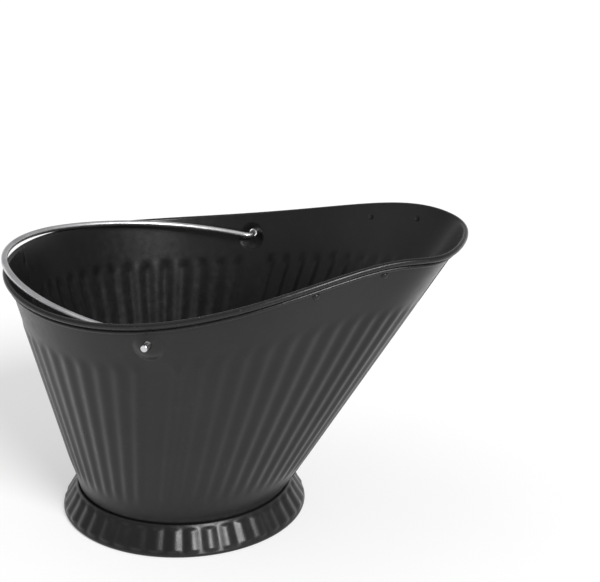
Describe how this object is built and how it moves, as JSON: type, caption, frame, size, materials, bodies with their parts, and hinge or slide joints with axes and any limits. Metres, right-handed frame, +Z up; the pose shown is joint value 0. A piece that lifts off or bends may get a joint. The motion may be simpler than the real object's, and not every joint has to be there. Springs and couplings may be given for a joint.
{
  "type": "coal scuttle",
  "caption": "Black coal scuttle: a ribbed sheet-steel hod with a flared spout and a rolled rim, on a fluted foot ring, with a swinging wire bail",
  "frame": {"origin": "on the ground under the centre of the overall box, with the foot ring standing on z = 0", "axes": "+X towards the spout, +Z up, +Y to the left of someone who looks towards the spout"},
  "size_m": [0.4406, 0.3508, 0.2957],
  "materials": {
    "black_paint": "semi-gloss",
    "plain_wire": "satin",
    "bail_wire": "bright zinc"
  },
  "bodies": {
    "hod": {"left_wall": "black_paint", "right_wall": "black_paint", "rim_wire": "plain_wire", "bottom_pan": "black_paint", "foot_ring": "black_paint", "foot_wire": "plain_wire", "spout_rivets": "black_paint"},
    "bail": {"bail": "bail_wire"}
  },
  "joints": [
    {"name": "bail_swing", "type": "hinge", "parent": "hod", "child": "bail", "pos_m": [-0.02386, 0, 0.231], "axis": [0, 1, 0], "range_deg": [0, 163]}
  ]
}
